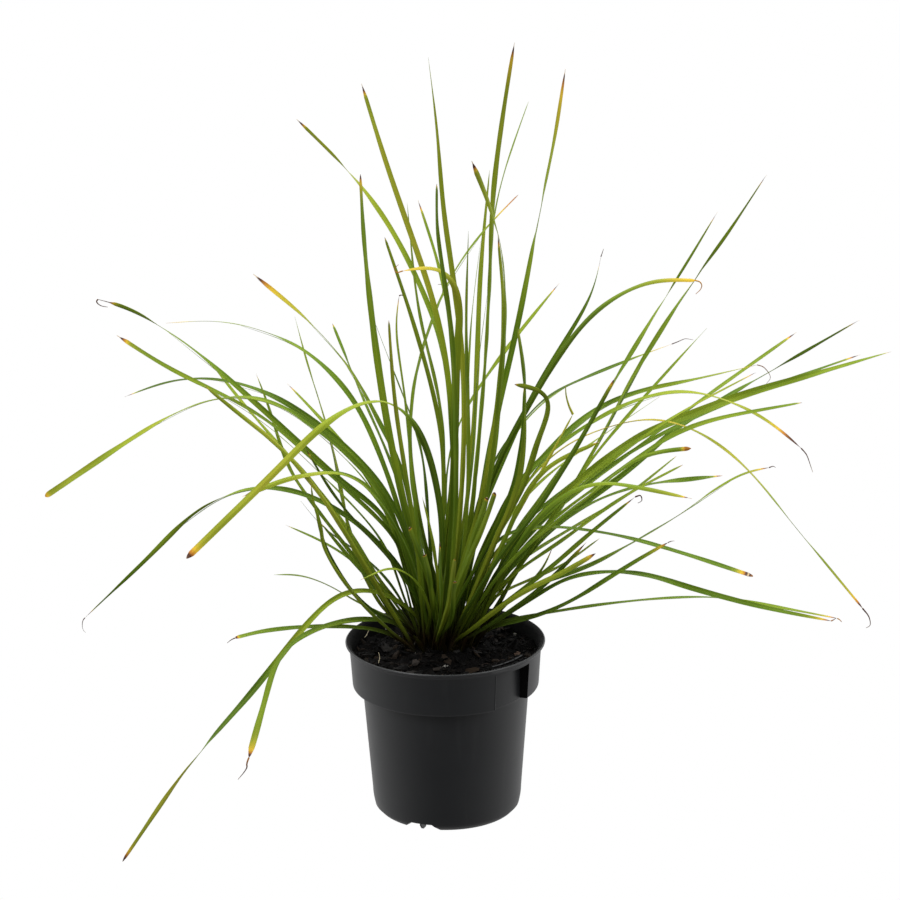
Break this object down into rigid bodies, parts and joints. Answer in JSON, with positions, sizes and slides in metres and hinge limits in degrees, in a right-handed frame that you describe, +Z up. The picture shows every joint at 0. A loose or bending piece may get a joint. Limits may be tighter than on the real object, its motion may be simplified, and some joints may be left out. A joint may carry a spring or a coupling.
{
  "type": "potted lomandra",
  "caption": "Tuft of long narrow arching leaves growing from dark potting mix in a round tapered nursery pot with a deep collar, a label pocket and drain gaps.",
  "frame": {"origin": "middle of the pot's underside, on the surface that it stands on", "axes": "+Z up along the pot's axis, the pictured front facing -Y, +X to the viewer's right"},
  "size_m": [0.6301, 0.44, 0.6031],
  "materials": {
    "pot_plastic": "satin charcoal moulded plastic",
    "potting_mix": "rough moist bark mix",
    "leaf_green": "satin leaf, finely ribbed along its length",
    "leaf_olive": "satin older leaf, finely ribbed along its length"
  },
  "bodies": {
    "root": {"pot": "pot_plastic", "soil": "potting_mix", "leaf_01": "leaf_olive", "leaf_02": "leaf_green", "leaf_03": "leaf_green", "leaf_04": "leaf_olive", "leaf_05": "leaf_green", "leaf_06": "leaf_green", "leaf_07": "leaf_green", "leaf_08": "leaf_green", "leaf_09": "leaf_green", "leaf_10": "leaf_green", "leaf_11": "leaf_olive", "leaf_12": "leaf_olive", "leaf_13": "leaf_green", "leaf_14": "leaf_green", "leaf_15": "leaf_green", "leaf_16": "leaf_green", "leaf_17": "leaf_green", "leaf_18": "leaf_green", "leaf_19": "leaf_green", "leaf_20": "leaf_green", "leaf_21": "leaf_green", "leaf_22": "leaf_green", "leaf_23": "leaf_green", "leaf_24": "leaf_green", "leaf_25": "leaf_green", "leaf_26": "leaf_green", "leaf_27": "leaf_olive", "leaf_28": "leaf_green", "leaf_29": "leaf_green", "leaf_30": "leaf_green", "leaf_31": "leaf_green", "leaf_32": "leaf_olive", "leaf_33": "leaf_green", "leaf_34": "leaf_green", "leaf_35": "leaf_green", "leaf_36": "leaf_green", "leaf_37": "leaf_olive", "leaf_38": "leaf_olive", "leaf_39": "leaf_green", "leaf_40": "leaf_green", "leaf_41": "leaf_green", "leaf_42": "leaf_green", "leaf_43": "leaf_green", "leaf_44": "leaf_green", "leaf_45": "leaf_green", "leaf_46": "leaf_green", "shoot_01": "leaf_green", "shoot_02": "leaf_green", "shoot_03": "leaf_green", "shoot_04": "leaf_green", "shoot_05": "leaf_green", "shoot_06": "leaf_green", "shoot_07": "leaf_green", "shoot_08": "leaf_green", "shoot_09": "leaf_green", "shoot_10": "leaf_green", "shoot_11": "leaf_green", "shoot_12": "leaf_green"}
  },
  "joints": []
}
